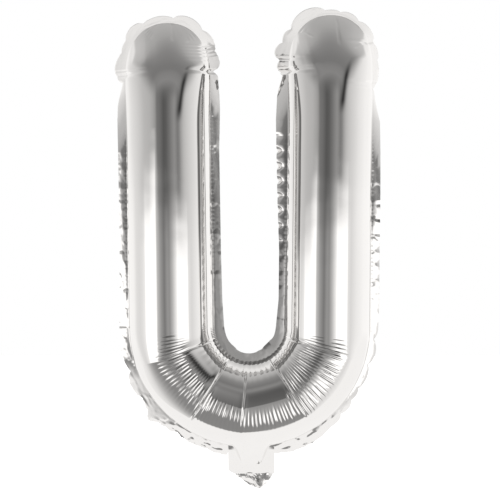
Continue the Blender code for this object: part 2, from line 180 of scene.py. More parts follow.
MARGIN_ROOT = 0.45 * MM

# Steps along the weld: down the legs and round the outside of the bend, in columns round a
# dome, in degrees round the crotch, and the least that is worth a column
MARGIN_STEP = 0.62 * MM
DOME_COLUMNS = 76
CROTCH_STEP = 1.2
LEAST_STEP = 0.05 * MM
RIM_STEP = 0.1 * MM

# How far the strip cups over its width, in degrees, and how far from the legs the crotch's
# own cup begins. A leaning strip is drawn wider by up to LEAN_WIDENING, so that it shows whole
MARGIN_CUP = 6.0
DOME_CUP = -3.0
CUP_CHANGE = (DOME_HEIGHT - 2.0 * MM, DOME_HEIGHT + 6.0 * MM)
CROTCH_CUP = 3.0
CROTCH_CUP_REACH = 25.0
LEAN_WIDENING = 1.7

# Folded pleat that stands out of the margin at the lower left: angle, half angle, extra width
PLEAT_ANGLE = 223.0
PLEAT_HALF_ANGLE = 4.0
PLEAT_EXTRA = 5.0 * MM

# How the margin lies, by its stretch and edge (+1 outer, -1 inner): place (millimetres below
# the leg's top, or the bend's angle), lean to the back in degrees, strength of the crumpling
# and, where there is one, the lean's change at a leg's even gathers or inside a bend's lobe
MARGIN_LIE = {
    ("left", 1): ((0, 54, 0.45), (8, 54, 0.4), (20, 56, 0.35), (52, 54, 0.1), (61, 42, 0.1),
                  (77, 29, 0.1), (90, 17, 0.1), (101, 9, 0.15), (140, 8, 0.25), (160, 9, 0.3),
                  (179, 11, 0.4), (200, 15, 0.6), (218, 19, 0.6), (240, 20, 0.6)),
    ("left", -1): ((0, 54, 0.45), (17, 54, 0.4), (27, 38, 0.3), (51, 31, 0.5), (61, 24, 0.5),
                   (70, 17, 0.3), (77, 11, 0.2), (100, 10, 0.3), (112, 6, 0.25), (140, -1, 0.2),
                   (179, -5, 0.2), (219, -5, 0.15), (240, -6, 0.15)),
    ("right", 1): ((0, 54, 0.45), (8, 54, 0.4), (20, 56, 0.35), (62, 54, 0.2), (72, 42, 0.2),
                   (83, 30, 0.2), (95, 22, 0.2), (107, 16, 0.3), (125, 6, 0.25), (146, 1.5, 0.2),
                   (160, 3, 0.3, 6), (186, 14, 0.4, 4), (225, 15, 0.3), (245, 16, 0.3)),
    ("right", -1): ((0, 54, 0.45), (17, 54, 0.4), (27, 50, 0.2), (41, 49, 0.2), (49, 38, 0.3),
                    (58, 32, 0.2), (68, 24, 0.15), (83, 14, 0.15), (100, 10, 0.15, 8),
                    (107, 9, 0.15, 24), (150, 9, 0.15, 28), (170, 5, 0.2, 18), (193, -3, 0.25, 6),
                    (225, -5, 0.2), (245, -6, 0.2)),
    ("bend_left", 1): ((176, 20, 0.6, -4), (196, 20, 0.8, -4), (206, 47, 1.8), (216, 42, 2.6),
                       (240, 40, 2.6), (263, 41, 2.2)),
    ("bend_right", 1): ((281, 41, 2.6), (300, 41, 2.2), (306, 42, 0.8), (320, 34, 0.5), (332, 20, 0.4),
                        (366, 16, 0.4)),
    ("crotch", -1): ((176, -6, 0.15), (230, -5, 0.12), (290, -3, 0.08), (320, -1, 0.08),
                     (345, -3, 0.12), (364, -6, 0.2)),
}

# Filling tail. Its sheets tuck behind the margin, and in the middle the film's neck covers them
TAIL_LEFT = -17.0 * MM
TAIL_RIGHT = 20.0 * MM
TAIL_MIDDLE = 0.5 * (TAIL_LEFT + TAIL_RIGHT)
TAIL_FOLD_Z = -16.8 * MM
TAIL_WALL = 0.3 * MM
TAIL_LEAN = 40.0
TAIL_BEND_LENGTH = 0.5 * MM
TAIL_TUCK = 1.0 * MM
TAIL_OVERLAP = 1.5 * MM
TAIL_BOW = 1.0 * MM
TAIL_WAVE_HEIGHT = 0.12 * MM
TAIL_WAVE_LENGTH = 6.1 * MM
TAIL_CORNER = 3.0 * MM
TAIL_CORNER_SHARE = 0.14

# Neck of the film above the tail: how far it reaches down, how wide it is in degrees round the
# bend, from which degree over the tube it runs out, and how slim it gets
NECK_REACH = 15.0 * MM
NECK_COVER = 9.0 * MM
NECK_HALF_ANGLE = 9.4
NECK_FROM = 54.0
NECK_EASE = 1.5
NECK_SLIMMING = 0.55

# Crumpled tip
TIP_Z = -28.8 * MM
TIP_X = 7.5 * MM
TIP_LEFT = -11.5 * MM
TIP_RIGHT = 18.8 * MM
TIP_PLEATS = 4
TIP_PLEAT_DEPTH = 0.7 * MM
TIP_NARROWING = 0.74
TIP_RAGGEDNESS = 0.8 * MM
TIP_SCATTER = 0.5 * MM
TIP_TUCK = 0.4 * MM

# Folds of the tail's front, in millimetres: from x, z to x, z, half width, height
TAIL_FOLDS = (
    (-14, -1, -9, -7.5, 1, 0.05),
    (16, 1, 5, -9, 1, 0.07),
    (-12, -14.6, 6, -14, 1.2, 0.05),
    (-8, -9.4, 16, -11.6, 1.6, 0.06),
    (6, -13.4, 17, -9.6, 1.3, 0.06),
)

# The mirrored room. Its shades are those the foil shows, 0 to 255, by the turn in degrees from
# the camera's side, level with the letter and a little above it, and by how far the ceiling
# is in front (1) or behind (-1)
FOIL_REFLECTANCE = 0.86
LEVEL_ROOM = (
    (-180, 242), (-133, 242), (-115, 240), (-101, 219), (-89, 215),
    (-79, 222), (-71, 234), (-69, 262), (-37, 262), (-34, 190), (-24, 148), (-14, 118),
    (-6, 146), (0, 142), (8, 182), (15, 222), (19, 244), (21, 262), (50, 262), (52, 224),
    (61, 213), (70, 223), (80, 232), (107, 244), (142, 246), (180, 242),
)
UPPER_ROOM = (
    (-180, 236), (-133, 236), (-116, 222), (-101, 212), (-88, 203), (-77, 193),
    (-67, 182), (-58, 178), (-49, 174), (-40, 162), (-34, 148), (-29, 114), (-22, 108),
    (-11, 84), (-4, 90), (4, 110), (11, 128), (17, 139), (22, 130), (26, 118), (31, 130),
    (36, 156), (43, 180), (51, 193), (60, 203), (72, 214), (84, 225), (107, 238), (142, 244),
    (180, 236),
)
CEILING = (
    (-1, 160), (-0.75, 186), (-0.5, 212), (-0.36, 228), (-0.24, 228), (-0.15, 192), (0, 182),
    (0.08, 178), (0.14, 172), (0.19, 167), (0.25, 160), (0.3, 150), (0.36, 140), (0.42, 131),
    (0.5, 124), (0.57, 118), (0.61, 117), (0.66, 126), (0.72, 131), (0.77, 120), (0.82, 108),
    (1, 100),
)
CEILING_RISE = (24.0, 42.0)
WARMTH = 0.012

# How high the softboxes reach above level and how far below it, by the turn, in degrees
WINDOW_TOPS = (
    (-180, 2), (-95, 1), (-79, 0.2), (-66, 0.7), (-54, 0.9), (-44, 1.7), (-34, 2.2), (-26, 1.1),
    (0, 1), (17, 1), (22, 1.1), (53, 1.1), (60, 1.4), (90, 1.6), (180, 2),
)
WINDOW_TOP_SOFTNESS = 1.5
WINDOW_BOTTOMS = (
    (-180, 60), (-150, 60), (-128, 14), (-100, 14), (-70, 16), (-38, 18), (-30, 22),
    (0, 30), (20, 44), (56, 44), (70, 50), (100, 60), (180, 60),
)
HALF_TURN = 180.0
MOST_RISE = 90.0

# Shades of the floor below the softboxes, by the turn
FLOOR_SHADES = (
    (-180, 215), (-140, 240), (-130, 237), (-120, 231), (-108, 224), (-97, 214), (-85, 194),
    (-73, 172), (-60, 150), (-45, 132), (0, 128), (60, 140), (100, 230), (180, 230),
)
FLOOR_SOFTNESS = 6.0

# A dark bar that stands in the room on the right and bends outwards above, in degrees
BAR_TURN = 29.6
BAR_BEND = 0.0090
BAR_HALF_WIDTH = 7.5
BAR_FOOT = (6.5, 19.5)
BAR_TOP = (35.0, 46.0)
BAR_DARKNESS = 0.88

# A dark opening in the wall behind. Its half width and its distance behind run from where it
# is whole to where it has ended, as parts of a direction of length 1
OPENING_HALF_WIDTH = (0.12, 0.34)
OPENING_BEHIND = (0.3, 0.6)
OPENING_DARKNESS = 0.80

# A white table under the letter, as parts of a direction of length 1: the slope and softness
# of its front edge, how it widens to the left, how far down it lies, and how far lower behind
TABLE_SHADE = 238
TABLE_EDGE = 0.325
TABLE_EDGE_SOFTNESS = (0.02, -0.09)
TABLE_SIDE = 3.0
TABLE_SIDE_FROM = 0.55
TABLE_DOWN = (0.05, 0.16)
TABLE_DROP = 0.24
TABLE_DROP_BEHIND = (0.70, 0.90)

# Camera and the photograph's frame
PIXEL = 0.79 * MM
FRAME_PIXELS = 500
CAMERA_DISTANCE = 1.6
CAMERA_X = 0.4 * MM
CAMERA_Z = 162.0 * MM
SENSOR = 36.0
FLOOR_Z = -80.0 * MM
FLOOR_SIZE = 6.0

# Tone of the bare foil, and the columns of each film: the step round the bend, how many round
# a dome, and the steps at the shoulders and down the legs
FOIL_TONE = (0.88, 0.872, 0.864)
FRONT_STEPS = (0.36 * MM, 24, 0.55 * MM, 2.0 * MM)
BACK_STEPS = (0.45 * MM, 18, 0.90 * MM, 2.0 * MM)


class Value:
    """One socket of a node tree, as a number. Arithmetic on it adds Math nodes."""

    def __init__(self, graph, socket):
        self.graph = graph
        self.socket = socket

    def reckon(self, operation, *others):
        inputs = dict(enumerate((self, *others)))
        return self.graph.node("ShaderNodeMath", inputs, {"operation": operation})

    def __add__(self, other):
        return self.reckon("ADD", other)

    def __mul__(self, other):
        return self.reckon("MULTIPLY", other)

    __radd__ = __add__
    __rmul__ = __mul__

    def __neg__(self):
        return self * -1.0

    def __sub__(self, other):
        return self.reckon("SUBTRACT", other)

    def __rsub__(self, other):
        return -self + other

    def __truediv__(self, other):
        return self.reckon("DIVIDE", other)

    def __pow__(self, power):
        return self.reckon("POWER", power)

    def absolute(self):
        return self.reckon("ABSOLUTE")

    def above(self, least):
        return self.reckon("MAXIMUM", least)

    def below(self, most):
        return self.reckon("MINIMUM", most)

    def sine(self):
        return self.reckon("SINE")

    def cosine(self):
        return self.reckon("COSINE")

    def bell(self, half_width):
        """1 where the number is 0, falling to 1/e at half_width."""
        near = self / half_width
        return (-(near * near)).reckon("EXPONENT")

    def smooth(self, low, high):
        """0 up to low, 1 from high on, and an even S between."""
        return self.graph.node("ShaderNodeMapRange", {0: self, 1: low, 2: high},
                               {"interpolation_type": "SMOOTHSTEP"})

    def within(self, begin, whole, fading, end):
        """1 from whole to fading, and 0 up to begin and from end on."""
        return self.smooth(begin, whole) * (1.0 - self.smooth(fading, end))

    def positive(self):
        """1 where the number is above 0, and 0 elsewhere."""
        return self.smooth(0.0, 0.01)

    def plateau(self):
        """1 about 0, falling more steeply than a bell to 1/e at 1."""
        return (-(self.absolute() ** 3.0)).reckon("EXPONENT")

    def wave(self):
        """A cosine wave, one for each whole number."""
        return (self * (2.0 * math.pi)).cosine()

    def zigzag(self):
        """A sharp wave from 0 to 1 and back, one for each whole number."""
        return self.reckon("PINGPONG", 0.5) * 2.0


class Graph:
    """A node tree being made."""

    def __init__(self, tree):
        self.tree = tree

    def node(self, kind, inputs=None, settings=None, output=0):
        """Adds a node, sets it, gives it its inputs and returns one of its outputs."""
        made = self.tree.nodes.new(kind)
        for name, setting in (settings or {}).items():
            if name == "stops":
                self.set_stops(made.color_ramp, setting)
            else:
                setattr(made, name, setting)
        for key, value in (inputs or {}).items():
            if isinstance(value, Value):
                self.tree.links.new(value.socket, made.inputs[key])
            else:
                made.inputs[key].default_value = value
        return Value(self, made.outputs[output]) if made.outputs else made

    @staticmethod
    def set_stops(ramp, stops):
        while len(ramp.elements) < len(stops):
            ramp.elements.new(1.0)
        for element, (place, level) in zip(ramp.elements, stops):
            element.position = place
            element.color = (level, level, level, 1.0)

    def parts(self, vector):
        """The three numbers of a vector."""
        made = self.tree.nodes.new("ShaderNodeSeparateXYZ")
        self.tree.links.new(vector.socket, made.inputs[0])
        return [Value(self, output) for output in made.outputs]

    def vector(self, x, y, z):
        return self.node("ShaderNodeCombineXYZ", {0: x, 1: y, 2: z})

    def noise(self, vector, scale, detail=2.0):
        return self.node("ShaderNodeTexNoise", {"Vector": vector, "Scale": scale, "Detail": detail})


class ShapeGraph(Graph):
    """A Geometry Nodes tree whose pieces are swept along the points of a path."""

    def __init__(self, name, sizes):
        tree = bpy.data.node_groups.new(name, "GeometryNodeTree")
        super().__init__(tree)
        face = tree.interface
        face.new_socket(name="Path", in_out="INPUT", socket_type="NodeSocketGeometry")
        for label, size in sizes.items():
            kind = "NodeSocketInt" if isinstance(size, int) else "NodeSocketFloat"
            face.new_socket(name=label, in_out="INPUT", socket_type=kind).default_value = size
        face.new_socket(name="Material", in_out="INPUT", socket_type="NodeSocketMaterial")
        face.new_socket(name="Piece", in_out="OUTPUT", socket_type="NodeSocketGeometry")
        self.source = tree.nodes.new("NodeGroupInput")
        self.column = None

    def size(self, label):
        return Value(self, self.source.outputs[label])

    def along_path(self, name, kind="FLOAT"):
        """A value of the path at this point's column."""
        named = self.node("GeometryNodeInputNamedAttribute", {"Name": name}, {"data_type": kind})
        return self.node("GeometryNodeSampleIndex",
                         {"Geometry": self.size("Path"), "Value": named, "Index": self.column},
                         {"data_type": kind, "domain": "POINT"})

    def section_grid(self, rows_there, rows_back):
        """A grid with one column for each point of the path. Its rows run from one edge of the
        section to the other and back to where they began. Returns the grid, the part of the
        way across, from 0 to 1, and 1 on the way back."""
        rows = rows_there + rows_back + 3.0
        columns = self.node("GeometryNodeAttributeDomainSize", {0: self.size("Path")})
        grid = self.node("GeometryNodeMeshGrid", {"Vertices X": columns, "Vertices Y": rows})
        index = self.node("GeometryNodeInputIndex")
        self.column = ((index + 0.5) / rows).reckon("FLOOR")
        row = index - self.column * rows
        back = (row - rows_there - 0.5).positive() * (rows - 1.5 - row).positive()
        closing = (row - rows + 1.5).positive()
        part_back = 1.0 - (row - rows_there - 1.0) / rows_back
        return grid, blend(row / rows_there, part_back, back) * (1.0 - closing), back

    def lift(self, geometry, height):
        """Moves each point along the surface's own direction there."""
        x, y, z = self.parts(self.node("GeometryNodeInputNormal"))
        return self.node("GeometryNodeSetPosition",
                         {"Geometry": geometry, "Offset": self.vector(x * height, y * height, z * height)})

    def finish(self, geometry):
        """Ends the tree: joined, smooth but for its sharp edges, realized and with its material."""
        joined = self.node("GeometryNodeMergeByDistance",
                           {"Geometry": geometry, "Distance": MERGE_DISTANCE})
        smooth = self.node("GeometryNodeSetShadeSmooth", {"Geometry": joined})
        bent = self.node("GeometryNodeInputMeshEdgeAngle").reckon("GREATER_THAN", SHARP_ANGLE)
        edged = self.node("GeometryNodeSetShadeSmooth",
                          {"Geometry": smooth, "Selection": bent, "Shade Smooth": False},
                          {"domain": "EDGE"})
        real = self.node("GeometryNodeRealizeInstances", {"Geometry": edged})
        dressed = self.node("GeometryNodeSetMaterial",
                            {"Geometry": real, "Material": self.size("Material")})
        end = self.tree.nodes.new("NodeGroupOutput")
        self.tree.links.new(dressed.socket, end.inputs[0])
        return self.tree


def path_mesh(name, stations):
    """One point for each station of a path, with an attribute for each of its values. A value
    that a station leaves out is 0."""
    mesh = bpy.data.meshes.new(name)
    mesh.vertices.add(len(stations))
    for label in dict.fromkeys(label for station in stations for label in station):
        values = np.array([station.get(label, 0.0) for station in stations], dtype=np.float32)
        kind = ("FLOAT_VECTOR", "vector") if values.ndim == 2 else ("FLOAT", "value")
        mesh.attributes.new(label, kind[0], "POINT").data.foreach_set(kind[1], values.ravel())
        if label == "place":
            mesh.vertices.foreach_set("co", values.ravel())
    return mesh


def stand(name, data):
    """Puts an object in the scene, at the origin."""
    made = bpy.data.objects.new(name, data)
    bpy.context.scene.collection.objects.link(made)
    return made


def grow(name, tree, path, material, sizes=()):
    """Runs a Geometry Nodes tree on a path and keeps the result as a plain mesh."""
    carrier = stand(name + "_path", path)
    modifier = carrier.modifiers.new("grow", "NODES")
    modifier.node_group = tree
    for item in tree.interface.items_tree:
        if item.in_out == "INPUT" and item.name in sizes:
            modifier[item.identifier] = sizes[item.name]
        if item.name == "Material":
            modifier[item.identifier] = material
    graph = bpy.context.evaluated_depsgraph_get()
    mesh = bpy.data.meshes.new_from_object(carrier.evaluated_get(graph))
    mesh.name = name
    carrier.modifiers.clear()
    bpy.data.objects.remove(carrier, do_unlink=True)
    return stand(name, mesh)


def ease(value, low, high):
    """0 up to low, 1 from high on, and an even S between."""
    part = min(1.0, max(0.0, (value - low) / (high - low)))
    return part * part * (3.0 - 2.0 * part)


def blend(low, high, share):
    """low where share is 0 and high where it is 1, for numbers and for node values."""
    return low * (1.0 - share) + high * share


def follow(table, place, column=1):
    """One column of a table at a place of its first column, straight between the lines. What
    a line leaves out at its end is 0."""
    values = [line[column] if column < len(line) else 0.0 for line in table]
    return float(np.interp(place, [line[0] for line in table], values))


def bend_direction(angle):
    """Outwards from the bend's centre, in the plane of the seam."""
    return Vector((math.cos(math.radians(angle)), 0.0, math.sin(math.radians(angle))))


def leg_frame(leg):
    """Start of the leg's axis at the bend, its direction upwards, its outward side, length."""
    _, side, top, lean = leg
    tilt = math.radians(lean)
    outward = Vector((side * math.cos(tilt), 0.0, -math.sin(tilt)))
    upward = Vector((side * math.sin(tilt), 0.0, math.cos(tilt)))
    start = BEND_CENTRE + outward * BEND_RADIUS
    return start, upward, outward, (top - start.z) / math.cos(tilt)


def rise_within(below_top, length):
    """0 from this length below the leg's top downwards, and 1 at the top."""
    return min(1.0, max(0.0, 1.0 - below_top / length))


def half_width(below_top):
    rise = rise_within(below_top, DOME_HEIGHT)
    return TUBE_RADIUS * (1.0 - rise ** DOME_POWER) ** (1.0 / DOME_POWER)


def half_depth(below_top):
    return TUBE_RADIUS * (1.0 - rise_within(below_top, TAPER_LENGTH) ** 2)


def section_fullness(below_top):
    change = ease(rise_within(below_top, TAPER_LENGTH), *FULLNESS_CHANGE)
    return blend(TUBE_FULLNESS, DOME_FULLNESS, change)


def drawn_in(name, edge, below_top):
    """How far the folds draw the film in at one edge of a leg."""
    drawn = 0.0
    for leg_name, fold_edge, *sizes in FOLDS:
        if leg_name == name and fold_edge == edge:
            middle, depth, half_length = (size * MM for size in sizes)
            drawn += depth * max(0.0, 1.0 - abs(below_top - middle) / half_length) ** FOLD_SHARPNESS
    return drawn


def spread(low, high, step):
    """Even places from low to high, without high, about a step apart."""
    count = max(1, round((high - low) / step))
    return [low + (high - low) * index / count for index in range(count)]


def pleating(angle):
    """Strength, middle and reach of the inner and of the outer pleats at an angle of the bend."""
    values = [follow(PLEATING, angle, column) for column in range(1, 7)]
    return values[:3], values[3:]


def kink(angle, first, last):
    """How far the bend's straight panels depart from a round bend: 0 in the legs' direction,
    most at the creases and less between two of them."""
    edges = (first,) + PANEL_EDGES + (last,)
    greatest = math.radians(PANEL_HALF_ANGLE) ** 2 / 2.0
    for low, high in zip(edges, edges[1:]):
        if low <= angle <= high:
            if low == first:
                return greatest * ((angle - low) / (high - low)) ** 2
            if high == last:
                return greatest * ((high - angle) / (high - low)) ** 2
            half = math.radians(high - low) / 2.0
            off = math.radians(angle) - math.radians(low) - half
            return greatest + (off ** 2 - half ** 2) / 2.0
    return 0.0


def angle_at_foot(x):
    """The bend's angle where its outer weld, at the foot, stands at x."""
    return 270.0 + math.degrees(math.asin(x / (BEND_RADIUS + TUBE_RADIUS)))


def neck_reach(angle):
    """How far the film runs on below the weld line, into the tail's neck."""
    away = abs(angle - angle_at_foot(TAIL_MIDDLE)) / NECK_HALF_ANGLE
    return NECK_REACH * (1.0 - ease(away, 0.30, 1.0))


def dome_places(steps, first=0.0):
    """Distances below a leg's top at even turns round its dome."""
    turns = [0.5 * math.pi * (index + first) / steps for index in range(steps)]
    return [DOME_HEIGHT * (1.0 - math.cos(turn)) for turn in turns]


def leg_places(leg, dome_steps, shoulder_step, leg_step):
    """Distances below a leg's top, from the top down to the bend."""
    crown = [place for place in dome_places(dome_steps) if place < CROWN_HEIGHT]
    shoulder = spread(CROWN_HEIGHT, TAPER_LENGTH, shoulder_step)
    return crown + shoulder + spread(TAPER_LENGTH, leg_frame(leg)[3], leg_step)


def leg_stations(leg, places):
    """The tube's sections at these distances below a leg's top."""
    start, upward, outward, length = leg_frame(leg)
    name, side, _, lean = leg
    stations = []
    for below in places:
        rise = length - below
        turn = 270.0 + side * (90.0 - lean + math.degrees(rise / BEND_RADIUS))
        stations.append(dict(
            place=start + upward * rise, outward=outward, half_width=half_width(below),
            half_depth=half_depth(below), draw_outer=drawn_in(name, 1, below),
            draw_inner=drawn_in(name, -1, below), turn=turn, pleat_reach=1.0, outer_reach=1.0,
            fullness=section_fullness(below), top=below, side=side))
    return stations


def bend_stations(bend_step):
    """The tube's sections round the bend, from the left leg to the right one."""
    left, right = LEGS
    first, last = 180.0 + left[3], 360.0 - right[3]
    stations = []
    for angle in spread(first, last, math.degrees(bend_step / BEND_RADIUS)) + [last]:
        outward = bend_direction(angle)
        inner, outer = pleating(angle)
        below = min(leg_frame(left)[3] + math.radians(angle - first) * BEND_RADIUS,
                    leg_frame(right)[3] + math.radians(last - angle) * BEND_RADIUS)
        stations.append(dict(
            place=BEND_CENTRE + outward * BEND_RADIUS, outward=outward, half_width=TUBE_RADIUS,
            half_depth=TUBE_RADIUS, turn=angle, pleat=inner[0], pleat_middle=inner[1],
            pleat_reach=inner[2], outer_pleat=outer[0], outer_middle=outer[1],
            outer_reach=outer[2], kink=kink(angle, first, last), fullness=TUBE_FULLNESS,
            neck=neck_reach(angle), top=below))
    return stations


def film_path(name, bend_step, *steps):
    """The path of one film, from the left leg's top round the bend to the right leg's top."""
    left, right = (leg_stations(leg, leg_places(leg, *steps)) for leg in LEGS)
    return path_mesh(name, left + bend_stations(bend_step) + right[::-1])


def film_tree():
    """Sweeps one film over the tube, with its pleats, creases, puckers and folds."""
    sizes = {"Side": -1.0, "Rows outside": 76, "Rows inside": 8, "Inset": FILM_INSET,
             "Pleat angle": 2.35, "Pleat height": 0.42 * MM, "Faint pleats": 0.12,
             "Panel straightness": 0.75, "Pucker angle": 7.0, "Pucker height": 0.18 * MM,
             "Weld pucker pitch": 2.7 * MM, "Weld pucker height": 0.05 * MM,
             "Ripple height": 0.10 * MM, "Seed": 3.0}
    g = ShapeGraph("foil_film", sizes)
    size, path = g.size, g.along_path
    side, seed = size("Side"), size("Seed")

    # The rows run from the outer weld to the inner one, and back on the film's inner face
    grid, part, inside = g.section_grid(size("Rows outside"), size("Rows inside"))
    over = part * math.pi
    degrees = part * 180.0

    px, _, pz = g.parts(path("place", "FLOAT_VECTOR"))
    ox, _, oz = g.parts(path("outward", "FLOAT_VECTOR"))
    wide = path("half_width")
    scale = 1.0 - inside * (1.0 - (1.0 - size("Inset") / wide.above(0.00001)).above(0.0))
    draw_outer = path("draw_outer") * (1.0 - part.smooth(0.0, FOLD_REACH))
    draw_inner = path("draw_inner") * (1.0 - (1.0 - part).smooth(0.0, FOLD_REACH))
    neck = path("neck") * ((NECK_FROM - degrees) / NECK_FROM).above(0.0) ** NECK_EASE
    lean = neck * math.tan(math.radians(TAIL_LEAN))
    slim = 1.0 - neck * (NECK_SLIMMING / NECK_REACH)
    reach = wide * scale * over.cosine() - draw_outer + draw_inner + neck
    arch = (over.sine().absolute() ** 2.0) ** path("fullness")
    depth = path("half_depth") * scale * arch * slim + SEAM_GAP
    placed = g.vector(px + ox * reach, side * depth + lean, pz + oz * reach)
    swept = g.node("GeometryNodeSetPosition", {"Geometry": grid, "Position": placed})
    swept = g.node("GeometryNodeFlipFaces", {"Mesh": swept, "Selection": side})

    turn, top = path("turn"), path("top")
    radius = BEND_RADIUS + wide * over.cosine()
    drift = g.noise(g.vector(turn * 0.06, degrees * 0.012, side * 3.0 + seed), 1.0, 1.0) - 0.5
    uneven = g.noise(g.vector(turn * 0.33, seed, side), 1.0, 0.0)
    stray = g.noise(g.vector(turn * 0.41, seed + 7.0, side), 1.0, 0.0) - 0.5

    phase = turn / size("Pleat angle") + drift * 1.6
    ragged = degrees + stray * 18.0
    away = (ragged - path("pleat_middle")) / path("pleat_reach")
    window = away.plateau() * path("pleat")
    away = (ragged - path("outer_middle")) / path("outer_reach")
    outer = away.plateau() * path("outer_pleat")
    faint = degrees.within(60.0, 74.0, 96.0, 118.0) * (1.0 - turn.within(236.0, 242.0, 300.0, 308.0))
    window = window.above(outer).above(faint * size("Faint pleats") * path("pleat"))
    folded = phase.zigzag() - 0.5 + ((phase * 1.62 + uneven * 2.0).zigzag() - 0.5) * 0.45
    relief = folded * size("Pleat height") * window * (0.15 + uneven * 1.7)

    phase = turn / size("Pucker angle") + drift * 1.2
    in_bend = turn.within(196.0, 216.0, 326.0, 346.0)
    window = (1.0 - (180.0 - degrees).smooth(12.0, 62.0)) * in_bend
    relief += phase.wave() * size("Pucker height") * window * (0.2 + uneven * 1.4)

    window = degrees.smooth(28.0, 62.0) * (180.0 - degrees).smooth(0.0, 45.0)
    relief += path("kink") * over.cosine() * radius * window * size("Panel straightness")

    phase = top / size("Weld pucker pitch") + drift * 3.0
    patchy = g.noise(g.vector(top * 90.0, side, seed + path("side") * 5.0), 1.0, 1.0)
    beside_weld = 1.5 - (180.0 - degrees).smooth(1.0, 30.0) - degrees.smooth(1.0, 16.0) * 0.5
    on_leg = (1.0 - in_bend) * top.smooth(DOME_HEIGHT, DOME_HEIGHT + 20.0 * MM)
    relief += phase.wave() * size("Weld pucker height") * beside_weld * on_leg * patchy * 2.0

    for angle, fold_depth, fold_width, start, end in CREASES:
        away = (turn - angle + drift * 0.9) * (math.pi / 180.0) * radius
        window = degrees.within(start, start + CREASE_FADE_IN, end - CREASE_FADE_OUT, end)
        fold = away.bell(fold_width * MM) - away.bell(fold_width * MM * BANK_WIDTH) * BANK_HEIGHT
        relief += fold * window * (-fold_depth * MM)

    on_front = side.below(0.0) * -1.0
    for *sizes, flat in FACETS:
        x0, z0, x1, z1, fold_height, fold_width = (size * MM for size in sizes)
        length = math.hypot(x1 - x0, z1 - z0)
        ux, uz = (x1 - x0) / length, (z1 - z0) / length
        from_x, from_z = px + ox * reach - x0, pz + oz * reach - z0
        along = (from_x * ux + from_z * uz) / length
        away = from_z * ux - from_x * uz
        fold = (1.0 - away.absolute() / fold_width).above(0.0) if flat else away.bell(fold_width)
        relief += fold * along.within(-0.15, 0.15, 0.8, 1.15) * on_front * fold_height

    slow = g.noise(g.vector(turn * 0.035, degrees * 0.03, seed + side), 1.0, 1.0) - 0.5
    relief += slow * size("Ripple height")
    held = degrees.smooth(0.0, 5.0) * (180.0 - degrees).smooth(0.0, 3.0) * (1.0 - inside)
    return g.finish(g.lift(swept, relief * held))


def margin_stations():
    """The weld line from the tail's left side, round both legs and the crotch, to its right."""
    stations = []

    def add(place, across, width, lean, crumple, cup, gather=0.0):
        run = 0.0
        if stations:
            step = (place - stations[-1]["place"]).length
            if step < LEAST_STEP:
                return
            run = stations[-1]["run"] + step
        width *= min(LEAN_WIDENING, 1.0 / math.cos(math.radians(lean)))
        stations.append(dict(place=place, across=across, width=width, lean=lean, gather=gather,
                             cup=cup, crumple=crumple, thick=1.0, run=run))

    def add_bend(stretch, edge, angles):
        radius = BEND_RADIUS + edge * TUBE_RADIUS
        for angle in angles:
            outward = bend_direction(angle) * edge
            width, lobe = lobe_at(stretch, angle)
            lean, crumple, lobe_lean = lie_at(stretch, edge, angle)
            cup = MARGIN_CUP
            if edge > 0:
                off_pleat = abs(angle - PLEAT_ANGLE) / PLEAT_HALF_ANGLE
                width += PLEAT_EXTRA * ease(1.0 - off_pleat, 0.0, 1.0)
            else:
                from_legs = min(angle - 180.0, 360.0 - angle)
                cup = blend(cup, CROTCH_CUP, ease(from_legs, 0.0, CROTCH_CUP_REACH))
            add(BEND_CENTRE + outward * edge * radius, outward, width, lean + lobe * lobe_lean,
                crumple, cup)

    def add_leg(leg, edge, places):
        start, upward, outward, length = leg_frame(leg)
        for below in places:
            rim, next_rim = (start + upward * (length - place) + outward * (edge * half_width(place))
                             for place in (below, below + RIM_STEP))
            along = next_rim - rim
            across = Vector((-along.z, 0.0, along.x)).normalized()
            if across.dot(outward * edge) < 0.0:
                across = -across
            weld = rim - outward * (edge * drawn_in(leg[0], edge, below))
            lean, crumple, gather = lie_at(leg[0], edge, below / MM)
            cup = blend(DOME_CUP, MARGIN_CUP, ease(below, *CUP_CHANGE))
            add(weld, across, margin_width(leg, edge, below, rim), lean, crumple, cup, gather)

    left, right = LEGS
    step = math.degrees(MARGIN_STEP / (BEND_RADIUS + TUBE_RADIUS))
    first, last = 180.0 + left[3], 360.0 - right[3]
    left_places, right_places = (dome_places(DOME_COLUMNS, 0.5)
                                 + spread(DOME_HEIGHT, leg_frame(leg)[3], MARGIN_STEP) for leg in LEGS)
    add_bend("bend_left", 1, spread(first, angle_at_foot(TAIL_LEFT + TAIL_OVERLAP), step)[::-1])
    add_leg(left, 1, left_places[::-1])
    add_leg(left, -1, left_places)
    add_bend("crotch", -1, spread(first, last, CROTCH_STEP))
    add_leg(right, -1, right_places[::-1])
    add_leg(right, 1, right_places)
    add_bend("bend_right", 1, spread(angle_at_foot(TAIL_RIGHT - TAIL_OVERLAP), last, step)[::-1])
    stations[0]["thick"] = stations[-1]["thick"] = 0.0
    return stations


def lobe_at(name, angle):
    """Width of the margin at an angle of one table of lobes, None outside it, and 1 in the
    middle of a lobe to 0 at its ends."""
    lines = LOBES[name]
    for (start, _, notch), (end, widest, next_notch) in zip(lines, lines[1:]):
        part = (angle - start) / (end - start)
        if 0.0 <= part <= 1.0:
            base = blend(notch, next_notch, part)
            rise = math.sin(math.pi * part)
            return blend(base, widest, rise ** LOBE_ROUNDNESS) * MM, rise
    return None, 0.0


